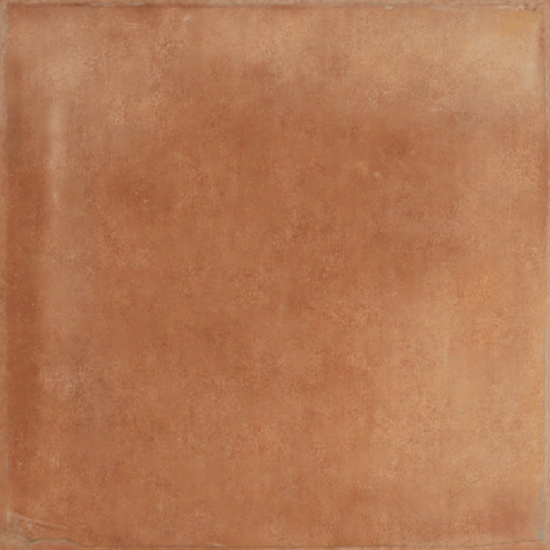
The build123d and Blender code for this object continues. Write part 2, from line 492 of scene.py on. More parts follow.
# Lines along the rim, by colour; some are painted shade and painted light, as marked
STROKES = {
    Pigment.DUST_AND_PAINTED_LIGHT: (
        Stroke(Side.NORTH, -35, 148, -2.6, 1.9, 0.75),
        Stroke(Side.NORTH, -148, -35, -2.4, 1.4, 0.35),
        Stroke(Side.EAST, -148, 60, -1.4, 1.2, 0.5),
        Stroke(Side.EAST, 60, 125, -1.4, 1.2, 0.3),
        Stroke(Side.WEST, 80, 148, -2.0, 1.8, 0.55, edge=3),
        Stroke(Side.NORTH, -148, -123, -2.0, 1.6, 0.5),
        Stroke(Side.NORTH, 66, 132, -0.4, 1.2, 0.4),
        Stroke(Side.SOUTH, -5, 30, -1.3, 1.0, 0.35),
        Stroke(Side.SOUTH, 30, 95, -1.5, 1.2, 0.5),
        Stroke(Side.SOUTH, 95, 148, -1.6, 1.0, 0.35),
        Stroke(Side.SOUTH, 66, 100, 0.5, 2.6, 0.45),
        Stroke(Side.SOUTH, 100, 148, 0.5, 2.2, 0.25),
        Stroke(Side.EAST, 125, 148, -1.8, 1.3, 0.5),
        Stroke(Side.NORTH, 122, 132, 0.5, 2.5, 0.45),
        Stroke(Side.NORTH, 143, 148, 0.5, 2.5, 0.45),
        # A pale line on the north rim's slope, where the lamp leaves it in shade: painted light
        Stroke(Side.NORTH, 12, 44, -0.7, 0.8, 0.55),
    ),
    Pigment.OCHRE: (Stroke(Side.SOUTH, 92, 140, 0.9, 0.8, 0.35),),
    Pigment.CLAY: (
        Stroke(Side.WEST, -60, 80, -2.1, 2.0, 0.55, edge=3),
        Stroke(Side.WEST, 80, 118, -0.8, 1.2, 0.3),
        Stroke(Side.WEST, -138, -60, -2.1, 2.1, 0.4, edge=3),
    ),
    Pigment.SAND: (
        Stroke(Side.SOUTH, -150, -134, -5.0, 4.5, 0.7),
        Stroke(Side.WEST, -150, -138, -4.0, 4.5, 0.7),
    ),
    Pigment.RUST: (
        Stroke(Side.SOUTH, -132, -108, -5.5, 3.0, 0.6),
        Stroke(Side.SOUTH, -132, -106, -8.5, 2.0, 0.7),
        Stroke(Side.SOUTH, -107, -90, -1.7, 0.8, 0.35),
        Stroke(Side.SOUTH, -58, -26, -1.2, 0.8, 0.5),
    ),
    Pigment.SOOT_AND_PAINTED_SHADE: (
        # Dark lines just inside the north arris: dirt and painted shade of the step down to the rim, which
        # faces away from the lamp
        Stroke(Side.NORTH, -144, -137, 0.4, 0.9, 0.8),
        Stroke(Side.NORTH, -137, -100, 0.5, 0.8, 0.5),
        Stroke(Side.NORTH, -100, -60, 0.9, 0.8, 0.45),
        Stroke(Side.NORTH, -60, -30, 0.5, 0.7, 0.45),
        Stroke(Side.NORTH, -79, -66, 1.0, 1.3, 0.5),
        Stroke(Side.NORTH, -53, -43, 0.7, 1.0, 0.45),
        Stroke(Side.NORTH, -30, 14, 0.5, 0.6, 0.3),
        Stroke(Side.NORTH, 10, 40, 1.2, 0.8, 0.25),
        Stroke(Side.NORTH, -4, 9, 0.8, 0.9, 0.4),
        Stroke(Side.NORTH, 40, 85, 0.8, 0.6, 0.26),
        Stroke(Side.EAST, 30, 118, 0.2, 0.45, 0.25),
        Stroke(Side.EAST, -140, -123, -0.6, 0.35, 0.3),
        # Inside the west arris: dirt and painted shade of the step, which faces away from the lamp
        Stroke(Side.WEST, 82, 122, 0.4, 0.6, 0.15),
    ),
    Pigment.OLIVE: (
        Stroke(Side.SOUTH, -107, -40, 1.0, 0.5, 0.65),
        Stroke(Side.SOUTH, -40, 14, 0.5, 0.45, 0.6),
        Stroke(Side.SOUTH, 14, 101, 0.3, 0.5, 0.58),
        Stroke(Side.SOUTH, 101, 145, -0.2, 0.55, 0.58),
        Stroke(Side.SOUTH, -150, -107, 0.1, 0.5, 0.7),
        Stroke(Side.WEST, -150, -138, 0.1, 0.5, 0.5),
    ),
    Pigment.ASH: (
        Stroke(Side.WEST, 117, 146, -0.3, 1.2, 0.6),
        Stroke(Side.WEST, 82, 117, -0.3, 0.7, 0.15),
        Stroke(Side.WEST, -85, 82, -0.3, 0.7, 0.15),
        Stroke(Side.WEST, -138, -85, -0.3, 0.8, 0.25),
        Stroke(Side.SOUTH, -150, -107, -1.2, 0.9, 0.6),
        Stroke(Side.NORTH, -30, 8, -0.7, 0.6, 0.35),
        Stroke(Side.NORTH, 8, 45, -0.7, 0.6, 0.12),
        Stroke(Side.NORTH, 45, 85, -0.7, 0.6, 0.35),
        Stroke(Side.EAST, -138, -120, 0.2, 0.6, 0.5),
    ),
    Pigment.LIME: (
        Stroke(Side.NORTH, 120, 137, 0.0, 0.8, 0.3),
        Stroke(Side.EAST, 85, 118, -0.5, 0.45, 0.35),
        Stroke(Side.EAST, -30, 30, -0.5, 0.45, 0.3),
        Stroke(Side.EAST, -123, -30, 0.1, 0.5, 0.45),
    ),
    Pigment.SLATE: (
        Stroke(Side.WEST, 128, 137, -0.1, 0.4, 0.4),
        Stroke(Side.WEST, 82, 95, -0.1, 0.35, 0.45),
        Stroke(Side.WEST, -106, -101, -0.1, 0.5, 0.35),
        Stroke(Side.EAST, -123, -30, 0.9, 0.8, 0.3),
        Stroke(Side.EAST, -146, -136, 0.1, 0.8, 0.5),
    ),
}


@dataclass(frozen=True)
class Cloud:
    """A procedural noise.

    size is that of its largest blotches, layers how many finer ones it has, and roughness how strong each is
    beside the one before. seed slides it elsewhere, and reach is how far it swings either way from nought.
    """

    size: float
    layers: float
    roughness: float = 0.5
    seed: int = 0
    reach: float = 1.0


class Bench:
    """A place to wire the nodes of one tree together."""

    SLIDE = (97.0, 61.0, 43.0)  # how far each step of a seed slides a noise, in millimetres
    SHEEN = 0.2  # the clay's specular level

    def __init__(self, tree: bpy.types.NodeTree) -> None:
        """Starts on a tree, which is emptied."""
        self.tree = tree
        tree.nodes.clear()

    def node(self, kind: str, inputs: dict[str | int, object] | None = None, **settings: object) -> Node:
        """Adds a node.

        Args:
            kind: the node's type name without its ShaderNode prefix, or a whole type name.
            inputs: what goes into its sockets, by name or number: another socket, or a constant.
            settings: the node's own properties.

        Returns:
            The new node.
        """
        whole = kind if kind.startswith("NodeGroup") else f"ShaderNode{kind}"
        made = self.tree.nodes.new(whole)
        for name, value in settings.items():
            setattr(made, name, value)
        for key, value in (inputs or {}).items():
            self.feed(made.inputs[key], value)
        return made

    def feed(self, socket: Socket, value: object) -> None:
        """Links a socket to another one, or sets it to a constant.

        Args:
            socket: what is fed.
            value: the other socket, or the constant.
        """
        if isinstance(value, Socket):
            self.tree.links.new(value, socket)
        else:
            socket.default_value = value

    def place(self) -> Socket:
        """Returns where on the tile a spot is, in millimetres."""
        return self.stretch(self.node("TexCoord").outputs["Object"], (1 / MM, 1 / MM, 1 / MM))

    def painted(self, name: str) -> Socket:
        """Reads a number painted on the mesh."""
        return self.node("Attribute", attribute_name=name).outputs["Fac"]

    def math(self, operation: str, *values: object) -> Socket:
        """Adds a Math node and returns its result."""
        return self.node("Math", dict(enumerate(values)), operation=operation).outputs[0]

    def vector(self, operation: str, *values: object) -> Socket:
        """Adds a Vector Math node and returns its result, the number where it gives one."""
        made = self.node("VectorMath", dict(enumerate(values)), operation=operation)
        return made.outputs["Value" if operation in ("DOT_PRODUCT", "LENGTH") else "Vector"]

    def stretch(self, place: Socket, scale: Triple) -> Socket:
        """Scales a place along its three axes."""
        return self.vector("MULTIPLY", place, scale)

    def noise(self, place: Socket, cloud: Cloud) -> Node:
        """Adds a Noise Texture.

        Args:
            place: where it is read, in millimetres.
            cloud: what it is like.

        Returns:
            The node, with Fac and Color outputs.
        """
        slid = self.vector("ADD", place, [cloud.seed * step for step in self.SLIDE])
        scale = 1 / cloud.size
        inputs = {"Vector": slid, "Scale": scale, "Detail": cloud.layers, "Roughness": cloud.roughness}
        return self.node("TexNoise", inputs)

    def level(self, place: Socket, cloud: Cloud) -> Socket:
        """Reads a noise at a place, as a number from 0 to 1."""
        return self.noise(place, cloud).outputs["Fac"]

    def swing(self, place: Socket, cloud: Cloud) -> Socket:
        """Reads a noise as a swing from nought, since it lies mostly between a quarter and three quarters."""
        return self.math("MULTIPLY_ADD", self.level(place, cloud), 4 * cloud.reach, -2 * cloud.reach)

    def ease(self, value: Socket, band: Pair) -> Socket:
        """Goes smoothly from 0 at the low end of a band to 1 at its high end."""
        inputs = {"Value": value, "From Min": band[0], "From Max": band[1]}
        return self.node("MapRange", inputs, interpolation_type="SMOOTHSTEP").outputs["Result"]

    def spread(self, share: Socket, band: Pair) -> Socket:
        """Goes evenly from the low end of a band at 0 to its high end at 1."""
        return self.math("MULTIPLY_ADD", share, band[1] - band[0], band[0])

    def ramp(self, value: Socket, stops: list[Stop]) -> Socket:
        """Adds a Color Ramp.

        Args:
            value: from 0 to 1.
            stops: each stop's place, from 0 to 1, and its colour in levels.

        Returns:
            The ramp's colour.
        """
        made = self.node("ValToRGB", {"Fac": value})
        elements = made.color_ramp.elements
        while len(elements) < len(stops):
            elements.new(0.5)
        for element, (place, levels) in zip(elements, stops, strict=True):
            element.position = place
            element.color = linear(levels)
        return made.outputs["Color"]

    def mix(self, share: object, first: object, second: object) -> Socket:
        """Mixes two colours.

        Args:
            share: of the second colour, from 0 to 1.
            first: the colour at 0.
            second: the colour at 1.

        Returns:
            The mixed colour.
        """
        made = self.node("Mix", data_type="RGBA")
        for name, value in (("Factor_Float", share), ("A_Color", first), ("B_Color", second)):
            socket = next(s for s in made.inputs if s.identifier == name)
            self.feed(socket, value)
        return next(s for s in made.outputs if s.identifier == "Result_Color")

    def matt(self, colour: Socket, rough: object, height: Socket, bump: Pair) -> None:
        """Ends the tree in a matt shader with a fine, pitted grain.

        Args:
            colour: of the clay.
            rough: the shader's roughness.
            height: of the grain, from 0 to 1.
            bump: how strong the grain comes out, from 0 to 1, and its depth in millimetres.
        """
        strength, depth = bump
        relief = self.node("Bump", {"Height": height, "Strength": strength, "Distance": depth * MM})
        inputs = {
            "Base Color": colour,
            "Roughness": rough,
            "Normal": relief.outputs["Normal"],
            "Specular IOR Level": self.SHEEN,
        }
        shader = self.node("BsdfPrincipled", inputs)
        self.node("OutputMaterial", {"Surface": shader.outputs["BSDF"]})


def new_material(name: str) -> tuple[bpy.types.Material, Bench]:
    """Makes a material with no nodes yet.

    Args:
        name: of the material.

    Returns:
        The material, and a bench for its nodes.
    """
    made = bpy.data.materials.new(name)
    made.use_nodes = True
    return made, Bench(made.node_tree)


class MarkLayer:
    """Lays small marks one after another, through a node group that adds one mark.

    A place travels down the chain with the sum so far as its third coordinate. That makes each mark wait
    for the one before it, because a shader has too little room to work out all of them side by side.
    """

    def __init__(self) -> None:
        """Makes the group."""
        self.group = bpy.data.node_groups.new("small_mark", "ShaderNodeTree")
        sockets = {name: "NodeSocketVector" for name in ("Place", "Across", "Along", "Middle", "Lift")}
        for name, kind in (sockets | {"Edge": "NodeSocketFloat"}).items():
            self.group.interface.new_socket(name, in_out="INPUT", socket_type=kind)
        self.group.interface.new_socket("Place", in_out="OUTPUT", socket_type="NodeSocketVector")
        bench = Bench(self.group)
        given = bench.node("NodeGroupInput").outputs
        plan = bench.node("SeparateXYZ", {0: given["Place"]}).outputs
        within = bench.vector("MULTIPLY_ADD", plan["Y"], given["Along"], given["Middle"])
        within = bench.vector("MULTIPLY_ADD", plan["X"], given["Across"], within)
        spread = bench.math("POWER", bench.vector("DOT_PRODUCT", within, within), given["Edge"])
        inside = bench.math("POWER", 0.5, spread)
        marked = bench.vector("MULTIPLY_ADD", inside, given["Lift"], given["Place"])
        bench.node("NodeGroupOutput", {"Place": marked})

    def lay(self, bench: Bench, base: object, place: Socket, marks: tuple[Flash, ...]) -> Socket:
        """Adds marks to a value.

        Args:
            bench: where their nodes go.
            base: the value that they are added to.
            place: where on the tile they are read, in millimetres.
            marks: what to lay, in order.

        Returns:
            The value with all of them added.
        """
        plan = bench.node("SeparateXYZ", {0: place}).outputs
        place = bench.node("CombineXYZ", {"X": plan["X"], "Y": plan["Y"], "Z": base}).outputs[0]
        for mark in marks:
            cosine, sine = cos(radians(mark.turn)), sin(radians(mark.turn))
            across = Vector((cosine / mark.wide, -sine / mark.tall, 0.0))
            along = Vector((sine / mark.wide, cosine / mark.tall, 0.0))
            inputs = {
                "Place": place,
                "Across": across,
                "Along": along,
                "Middle": -mark.east * across - mark.north * along,
                "Lift": (0.0, 0.0, mark.lift),
                "Edge": mark.edge,
            }
            place = bench.node("Group", inputs, node_tree=self.group).outputs["Place"]
        return bench.node("SeparateXYZ", {0: place}).outputs["Z"]


@dataclass(frozen=True)
class Speckle:
    """Pale specks of lime, and dark dots that paint the shade in small pits of the clay, thick in some places
    and thin in others.
    """

    specks: float
    pit_shade: float
    seeds: tuple[int, int] = (31, 37)  # of the specks and the pits
    dot: Cloud = Cloud(1.8, 2)
    dot_band: Pair = (0.66, 0.78)  # the noise levels between which dots come up
    cluster: Cloud = Cloud(20, 3, 0.6)
    cluster_band: Pair = (0.45, 0.65)

    def lay(self, bench: Bench, place: Socket, colour: Socket) -> Socket:
        """Scatters them over a colour.

        Args:
            bench: where their nodes go.
            place: where on the tile they are read, in millimetres.
            colour: of the clay.

        Returns:
            The speckled colour.
        """
        # The dark dots are painted shade of pits
        kinds = ((Pigment.LIME, self.specks), (Pigment.SOOT_AND_PAINTED_SHADE, self.pit_shade))
        for (pigment, cover), seed in zip(kinds, self.seeds, strict=True):
            dots = bench.ease(bench.level(place, replace(self.dot, seed=seed)), self.dot_band)
            clusters = bench.ease(bench.level(place, replace(self.cluster, seed=seed + 1)), self.cluster_band)
            share = bench.math("MULTIPLY", bench.math("MULTIPLY", dots, clusters), cover)
            colour = bench.mix(share, colour, linear(pigment.value))
        return colour


@dataclass(frozen=True)
class FaceFinish:
    """The fired face: kiln flashes, mottling and grain, with a worn, stained rim and some painted shade and
    highlight.
    """

    stops: tuple[Stop, ...] = (  # the clay's colour by its tone
        (99, (151, 85, 46)),
        (105, (156, 90, 52)),
        (123, (172, 108, 68)),
        (135, (180, 121, 83)),
        (147, (190, 135, 96)),
        (159, (198, 148, 107)),
        (171, (203, 161, 124)),
    )
    warm_shift: Triple = (8.0, -2.2, -10.0)
    warm_span: float = 10.0  # the levels of warmth that shift the colour so far
    mottle: Cloud = Cloud(22, 4, 0.6, seed=3, reach=8.2)
    blotches: Cloud = Cloud(6, 3, 0.75, seed=6, reach=8.4)
    grain: Cloud = Cloud(1.3, 1, 0.7, seed=5, reach=8.5)
    busy: Cloud = Cloud(16, 4, 0.7, seed=4)  # says where the blotches and the grain are strong
    busy_band: Pair = (0.2, 0.8)
    busy_gain: Pair = (-0.1, 2.1)
    upright: Triple = (1.0, 0.8, 1.0)  # makes the mottling a little taller than wide
    streaks: Cloud = Cloud(4, 3, 0.6, seed=7, reach=3.6)
    drawn: Triple = (1.0, 0.07, 1.0)  # makes the streaks far taller than wide
    warm_mottle: Cloud = Cloud(9, 4, 0.75, seed=11, reach=4.2)
    hue_mottle: Cloud = Cloud(6, 3, 0.7, seed=12, reach=0.007)
    speckle: Speckle = Speckle(specks=0.28, pit_shade=0.35)
    wear: Cloud = Cloud(3.5, 4, 0.7)  # breaks up the stains and lines
    wear_seeds: tuple[int, ...] = (17, 18, 19)
    wear_band: Pair = (0.36, 0.6)
    held: Pair = (0.55, 1.3)  # the least and greatest share of the dark lines that the wear leaves
    broken: Pair = (0.2, 1.3)  # and of everything else
    wobble: Cloud = Cloud(1.6, 1, seed=41)  # makes the small marks' borders ragged
    wobble_reach: float = 1.2
    relief: Cloud = Cloud(1.6, 4, 0.6, seed=19)
    bump: Pair = (0.25, 0.2)  # how strong the relief comes out, and its depth
    roughness: Pair = (0.72, 0.9)

    def material(self) -> bpy.types.Material:
        """Makes the material of the face, its rim and its chips.

        Returns:
            The material.
        """
        made, bench = new_material("fired_face")
        place = bench.place()
        colour = self._colour(bench, place, self._tone(bench, place))
        colour = self.speckle.lay(bench, place, colour)
        colour = self._stain(bench, place, colour)
        fine = bench.level(place, self.relief)
        bench.matt(colour, bench.spread(fine, self.roughness), fine, self.bump)
        return made

    def _tone(self, bench: Bench, place: Socket) -> Socket:
        """Works out how pale the clay is.

        Args:
            bench: where the nodes go.
            place: where on the tile it is read, in millimetres.

        Returns:
            The tone, in levels.
        """
        upright = bench.stretch(place, self.upright)
        tone = bench.math("ADD", bench.painted(Kiln.TONE), bench.swing(upright, self.mottle))
        fine = bench.math("ADD", bench.swing(upright, self.blotches), bench.swing(upright, self.grain))
        gain = bench.spread(bench.ease(bench.level(place, self.busy), self.busy_band), self.busy_gain)
        tone = bench.math("MULTIPLY_ADD", fine, gain, tone)
        return bench.math("ADD", tone, bench.swing(bench.stretch(place, self.drawn), self.streaks))

    def _colour(self, bench: Bench, place: Socket, tone: Socket) -> Socket:
        """Gives the clay its colour by tone, between a cool and a warm run of the same stops.

        Args:
            bench: where the nodes go.
            place: where on the tile it is read, in millimetres.
            tone: how pale the clay is, in levels.

        Returns:
            The colour.
        """
        darkest, palest = self.stops[0][0], self.stops[-1][0]
        inputs = {"Value": tone, "From Min": darkest, "From Max": palest}
        share = bench.node("MapRange", inputs).outputs["Result"]
        runs = []
        for sign in (-1, 1):
            stops = []
            for level, levels in self.stops:
                shifted = tuple(c + sign * s for c, s in zip(levels, self.warm_shift, strict=True))
                stops.append(((level - darkest) / (palest - darkest), shifted))
            runs.append(bench.ramp(share, stops))
        warmth = bench.math("ADD", bench.painted(Kiln.WARMTH), bench.swing(place, self.warm_mottle))
        colour = bench.mix(bench.math("MULTIPLY_ADD", warmth, 0.5 / self.warm_span, 0.5), *runs)
        hue = bench.math("ADD", bench.swing(place, self.hue_mottle), 0.5)
        return bench.node("HueSaturation", {"Hue": hue, "Color": colour}).outputs["Color"]

    def _stain(self, bench: Bench, place: Socket, colour: Socket) -> Socket:
        """Lays the stains, the lines along the rim and the small marks over the clay, some of them painted
        shade and highlight, broken up by its wear.

        Args:
            bench: where the nodes go.
            place: where on the tile they are read, in millimetres.
            colour: of the clay.

        Returns:
            The stained colour.
        """
        layer = MarkLayer()
        wobble = bench.vector("SUBTRACT", bench.noise(place, self.wobble).outputs["Color"], (0.5, 0.5, 0.5))
        slid = bench.vector("ADD", place, bench.stretch(wobble, (self.wobble_reach, self.wobble_reach, 0.0)))
        worn = []
        for seed in self.wear_seeds:
            worn.append(bench.ease(bench.level(place, replace(self.wear, seed=seed)), self.wear_band))
        for k, pigment in enumerate(Pigment):
            left = self.held if pigment in (Pigment.SOOT_AND_PAINTED_SHADE, Pigment.OLIVE) else self.broken
            share = bench.spread(worn[k % len(worn)], left)
            cover = bench.math("MULTIPLY", bench.painted(pigment.name), share)
            if pigment in MARKS:
                cover = layer.lay(bench, cover, slid, MARKS[pigment])
            colour = bench.mix(bench.math("MINIMUM", cover, 1.0), colour, linear(pigment.value))
        return colour


@dataclass(frozen=True)
class BodyFinish:
    """The bare clay of the sides and the back: cloudy, gritty and dusty."""

    stops: tuple[Stop, ...] = ((0.2, (152, 88, 54)), (0.5, (174, 110, 72)), (0.8, (194, 138, 102)))
    clouds: Cloud = Cloud(26, 4, 0.6, seed=23)
    clouds_gain: Pair = (-0.6, 0.8)
    grain: Cloud = Cloud(3.2, 4, 0.75, seed=24)
    grain_gain: float = 0.8
    drift: Cloud = Cloud(14, 5, 0.7, seed=25)  # says where dust lies
    drift_band: Pair = (0.5, 0.68)
    dust: float = 0.5
    speckle: Speckle = Speckle(specks=0.5, pit_shade=0.6)
    bump: Pair = (0.6, 0.4)  # how strong the grain comes out, and its depth
    roughness: float = 0.9

    def material(self) -> bpy.types.Material:
        """Makes the material.

        Returns:
            The material.
        """
        made, bench = new_material("bare_clay")
        place = bench.place()
        grain = bench.level(place, self.grain)
        clouds = bench.spread(bench.level(place, self.clouds), self.clouds_gain)
        colour = bench.ramp(bench.math("MULTIPLY_ADD", grain, self.grain_gain, clouds), list(self.stops))
        drift = bench.ease(bench.level(place, self.drift), self.drift_band)
        colour = bench.mix(bench.math("MULTIPLY", drift, self.dust), colour, linear(Pigment.DUST_AND_PAINTED_LIGHT.value))
        colour = self.speckle.lay(bench, place, colour)
        bench.matt(colour, self.roughness, grain, self.bump)
        return made


class Part(Enum):
    """The kinds of mesh element that a tool can pick."""

    VERTICES = "VERT"
    EDGES = "EDGE"
    FACES = "FACE"


class Hand:
    """Picks and works the elements of one mesh object, as by hand in edit mode."""

    CLOUD_DEPTH = 3  # how many finer layers the clouds of a displacement have

    def __init__(self, worked: bpy.types.Object) -> None:
        """Takes up an object."""
        self.object = worked

    def _read(
        self, row: bpy.types.bpy_prop_collection, name: str, wide: int, kind: type = float
    ) -> np.ndarray:
        """Reads one property of all the elements in a row.

        Args:
            row: the mesh's vertices, edges, faces or the like.
            name: of the property.
            wide: how many numbers it has for each element.
            kind: of those numbers.

        Returns:
            The numbers, one row for each element.
        """
        flat = np.empty(len(row) * wide, kind)
        row.foreach_get(name, flat)
        return flat.reshape(-1, wide)

    def points(self) -> np.ndarray:
        """Returns the vertices' places in millimetres, one row each."""
        return self._read(self.object.data.vertices, "co", 3) / MM

    def move(self, points: np.ndarray) -> None:
        """Puts the vertices at these places, in millimetres."""
        self.object.data.vertices.foreach_set("co", (points * MM).ravel())
        self.object.data.update()

    def edges(self) -> np.ndarray:
        """Returns the two vertex numbers of each edge."""
        return self._read(self.object.data.edges, "vertices", 2, int)

    def faces(self) -> np.ndarray:
        """Returns the faces' middles in millimetres, one row each."""
        return self._read(self.object.data.polygons, "center", 3) / MM

    def normals(self) -> np.ndarray:
        """Returns the faces' normals, one row each."""
        return self._read(self.object.data.polygons, "normal", 3)

    def paint(self, name: str, values: np.ndarray) -> None:
        """Stores a number for each vertex, as an attribute."""
        attribute = self.object.data.attributes.new(name, "FLOAT", "POINT")
        attribute.data.foreach_set("value", values)

    def painted(self, name: str) -> np.ndarray:
        """Returns the number stored for each vertex."""
        return self._read(self.object.data.attributes[name].data, "value", 1).ravel()

    def pick(self, part: Part, mask: np.ndarray) -> None:
        """Goes into edit mode with only these elements picked.

        Args:
            part: the kind of element.
            mask: true for each element to pick.
        """
        bpy.ops.object.mode_set(mode="EDIT")
        bpy.ops.mesh.select_mode(type=part.value)
        bpy.ops.mesh.select_all(action="DESELECT")
        bpy.ops.object.mode_set(mode="OBJECT")
        mesh = self.object.data
        row = {Part.VERTICES: mesh.vertices, Part.EDGES: mesh.edges, Part.FACES: mesh.polygons}[part]
        row.foreach_set("select", mask.astype(bool))
        bpy.ops.object.mode_set(mode="EDIT")

    def rest(self) -> None:
        """Goes back to object mode."""
        bpy.ops.object.mode_set(mode="OBJECT")

    def cut(self, axis: int, line: float, mask: np.ndarray) -> None:
        """Cuts faces along an upright plane.

        Args:
            axis: 0 for a plane across east, 1 for one across north.
            line: where on that axis it stands, in millimetres.
            mask: true for each face to cut.
        """
        normal = tuple(float(k == axis) for k in range(3))
        place = tuple(line * MM * n for n in normal)
        self.pick(Part.FACES, mask)
        bpy.ops.mesh.bisect(plane_co=place, plane_no=normal, threshold=TINY * MM)
        self.rest()

    def weigh(self, name: str, weights: np.ndarray) -> None:
        """Makes a vertex group.

        Args:
            name: of the group.
            weights: one for each vertex, from 0 to 1.
        """
        group = self.object.vertex_groups.new(name=name)
        for k, weight in enumerate(weights):
            group.add([k], weight, "REPLACE")

    def roughen(self, size: float, reach: float, direction: str, group: str, level: float = 0.5) -> None:
        """Displaces the vertices by clouds.

        Args:
            size: of the clouds, in millimetres.
            reach: from the lowest to the highest, in millimetres.
            direction: X, Y, Z or NORMAL.
            group: the vertex group that holds it back.
            level: how bright a cloud leaves a vertex where it is, from 0 to 1.
        """
        clouds = bpy.data.textures.new(f"clouds_{direction.lower()}", "CLOUDS")
        clouds.noise_scale = size * MM
        clouds.noise_depth = self.CLOUD_DEPTH
        self.apply(
            "DISPLACE",
            texture=clouds,
            texture_coords="LOCAL",
            direction=direction,
            strength=reach * MM,
            mid_level=level,
            vertex_group=group,
        )

    def apply(self, kind: str, **settings: object) -> None:
        """Adds a modifier and applies it.

        Args:
            kind: of modifier.
            settings: the modifier's own properties.
        """
        modifier = self.object.modifiers.new(kind.lower(), kind)
        for name, value in settings.items():
            setattr(modifier, name, value)
        bpy.ops.object.modifier_apply(modifier=modifier.name)


@dataclass(frozen=True)
class Kiln:
    """Paints the patches on a mesh's points, each kind as an attribute that the finishes read."""

    TONE = "kiln_tone"
    WARMTH = "kiln_warmth"

    tone: float = 120.8  # of the clay where no patch lies
    contrast: float = 1.07  # how strong the patches come out beside what is written for them
    drifts: tuple[Pair, ...] = ((30.0, 3.0), (8.0, 1.2))  # size and reach of the borders' wander
    stroke_fade: float = 5.0  # over which a stroke's ends fade out
    corner_overlap: float = 1.0  # how far past a corner's diagonal a stroke still shows
    seed: int = 87  # of the borders' wander, so that it comes out the same every time

    def fire(self, hand: Hand) -> None:
        """Paints a mesh.

        Args:
            hand: what holds the mesh.
        """
        places = self._wander(hand.points())
        hand.paint(self.TONE, self.tone + self.contrast * self._sum(places, TONES))
        hand.paint(self.WARMTH, self.contrast * self._sum(places, WARMTHS))
        inset = hand.painted(ClayTile.INSET)
        for pigment in Pigment:
            stain = self._sum(places, STAINS.get(pigment, ()))
            line = self._run(places, inset, STROKES.get(pigment, ()))
            hand.paint(pigment.name, np.maximum(stain, line))

    def _wander(self, points: np.ndarray) -> np.ndarray:
        """Slides points about in plan, so that what is laid there gets a natural border.

        Args:
            points: where they are.

        Returns:
            Where they are taken to be, in plan.
        """
        noise.seed_set(self.seed)
        slid = points[:, :2].copy()
        for size, reach in self.drifts:
            drift = [noise.noise_vector((x / size, y / size, size))[:2] for x, y, _ in points]
            slid += reach * np.array(drift)
        return slid

    def _sum(self, places: np.ndarray, patches: tuple[Flash, ...]) -> np.ndarray:
        """Adds up what patches give.

        Args:
            places: where to, in plan.
            patches: the patches of one kind.

        Returns:
            The sum at each place.
        """
        total = np.zeros(len(places))
        for patch in patches:
            cosine, sine = cos(radians(patch.turn)), sin(radians(patch.turn))
            east, north = (places - (patch.east, patch.north)).T
            across = (cosine * east + sine * north) / patch.wide
            along = (cosine * north - sine * east) / patch.tall
            total += patch.lift * 0.5 ** ((across**2 + along**2) ** patch.edge)
        return total

    def _run(self, places: np.ndarray, inset: np.ndarray, strokes: tuple[Stroke, ...]) -> np.ndarray:
        """Works out how far the strokes cover each place.

        Args:
            places: in plan.
            inset: how far in from the arris each place is.
            strokes: the strokes of one pigment.

        Returns:
            The cover at each place, as the most that a stroke gives there.
        """
        cover = np.zeros(len(places))
        for stroke in strokes:
            out = places @ np.array(stroke.side.value)
            along = places @ np.abs(stroke.side.value[::-1])
            past = np.maximum(stroke.start - along, along - stroke.end)
            beside = out > np.abs(along) - self.corner_overlap
            window = np.clip(0.5 - past / self.stroke_fade, 0, 1) * beside
            line = 0.5 ** (((inset - stroke.inset) / stroke.wide) ** 2) ** stroke.edge
            cover = np.maximum(cover, stroke.cover * window * line)
        return cover


